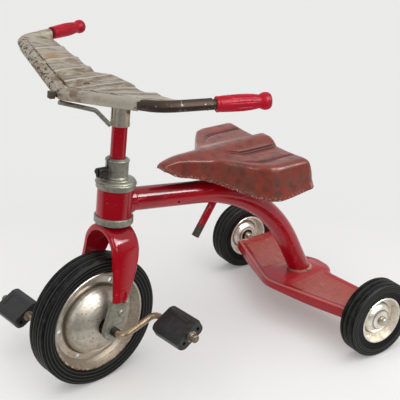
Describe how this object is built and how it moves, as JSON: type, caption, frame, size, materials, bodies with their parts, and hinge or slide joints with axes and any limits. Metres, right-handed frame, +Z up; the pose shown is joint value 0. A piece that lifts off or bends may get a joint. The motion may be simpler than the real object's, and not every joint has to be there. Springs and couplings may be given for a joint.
{
  "type": "child's tricycle",
  "caption": "Pedal tricycle for a small child: front wheel on a cranked axle in a steered fork, winged handlebar, arched frame tube, rear step, sliding seat.",
  "frame": {"origin": "middle of the bounding box, on the floor under the wheels", "axes": "+X forward, +Y to the rider's left, +Z up"},
  "size_m": [0.7129, 0.6184, 0.6147],
  "materials": {
    "red_enamel": "glossy stoved enamel, scuffed",
    "faded_step_paint": "faded matt red paint, chalky, scratched to metal",
    "worn_seat_paint": "worn brown-red paint, dull",
    "zinc_plate": "dull zinc plate, spotted",
    "worn_nickel": "worn nickel plate with rust spots",
    "rusty_steel": "bare steel, rusted brown",
    "bright_steel": "plated steel with rust spots",
    "tyre_rubber": "matt black rubber, dusty",
    "pedal_rubber": "black rubber, worn",
    "grip_plastic": "glossy red fluted plastic",
    "bronze": "oiled bushing"
  },
  "bodies": {
    "frame": {"head_tube": "red_enamel", "upper_cup": "zinc_plate", "lower_cup": "zinc_plate", "upper_bush": "bronze", "lower_bush": "bronze", "frame_tube": "red_enamel", "head_weld": "red_enamel", "step_plate": "faded_step_paint", "step_weld": "worn_nickel", "rear_axle": "bright_steel", "axle_washers": "bright_steel", "axle_caps": "bright_steel", "post_sleeve": "red_enamel", "post_set_bolt": "rusty_steel"},
    "seat": {"seat_post": "rusty_steel", "seat_bracket": "red_enamel", "seat_pan": "worn_seat_paint", "seat_rivets": "rusty_steel"},
    "fork": {"fork_blades": "red_enamel", "steerer": "red_enamel", "clamp_collar": "zinc_plate", "pinch_bolt": "rusty_steel", "pinch_nut": "rusty_steel", "dropout_left": "zinc_plate", "dropout_right": "zinc_plate", "dropout_rivets": "zinc_plate", "crank_bushes": "bronze"},
    "handlebar": {"stem": "red_enamel", "stem_socket": "worn_nickel", "handlebar_tube": "rusty_steel", "handlebar_wing": "worn_nickel", "brace_rod": "worn_nickel", "apex_bolt": "rusty_steel", "apex_nut": "rusty_steel", "grip_left": "grip_plastic", "grip_right": "grip_plastic"},
    "front_wheel": {"crank": "worn_nickel", "front_hub": "bright_steel", "hub_pin": "rusty_steel", "front_disc_left": "bright_steel", "front_disc_right": "bright_steel", "front_tyre": "tyre_rubber", "pedal_washers": "bright_steel", "pedal_caps": "rusty_steel"},
    "pedal_left": {"pedal_block_left": "pedal_rubber", "pedal_sleeve_left": "bright_steel"},
    "pedal_right": {"pedal_block_right": "pedal_rubber", "pedal_sleeve_right": "bright_steel"},
    "rear_wheel_left": {"rear_hub_left": "bright_steel", "rear_disc_out_left": "bright_steel", "rear_disc_in_left": "bright_steel", "rear_tyre_left": "tyre_rubber"},
    "rear_wheel_right": {"rear_hub_right": "bright_steel", "rear_disc_out_right": "bright_steel", "rear_disc_in_right": "bright_steel", "rear_tyre_right": "tyre_rubber"}
  },
  "joints": [
    {"name": "steer", "type": "hinge", "parent": "frame", "child": "fork", "pos_m": [0.19819, 0, 0.12389], "axis": [-0.1115, 0, 0.9938], "continuous": true},
    {"name": "front_wheel_spin", "type": "hinge", "parent": "fork", "child": "front_wheel", "pos_m": [0.22856, 0.00522, 0.12729], "axis": [-0.1674, 0.9857, -0.0188], "continuous": true},
    {"name": "pedal_left_spin", "type": "hinge", "parent": "front_wheel", "child": "pedal_left", "pos_m": [0.13774, 0.15465, 0.1539], "axis": [-0.1674, 0.9857, -0.0188], "continuous": true},
    {"name": "pedal_right_spin", "type": "hinge", "parent": "front_wheel", "child": "pedal_right", "pos_m": [0.31938, -0.14421, 0.10068], "axis": [-0.1674, 0.9857, -0.0188], "continuous": true},
    {"name": "rear_left_spin", "type": "hinge", "parent": "frame", "child": "rear_wheel_left", "pos_m": [-0.278, 0.226, 0.078], "axis": [0, 1, 0], "continuous": true},
    {"name": "rear_right_spin", "type": "hinge", "parent": "frame", "child": "rear_wheel_right", "pos_m": [-0.278, -0.226, 0.078], "axis": [0, 1, 0], "continuous": true},
    {"name": "stem_height", "type": "slide", "parent": "fork", "child": "handlebar", "axis": [-0.1115, 0, 0.9938], "range_m": [-0.04, 0.03]},
    {"name": "seat_height", "type": "slide", "parent": "frame", "child": "seat", "axis": [-0.5446, 0, 0.8387], "range_m": [0, 0.04]}
  ]
}
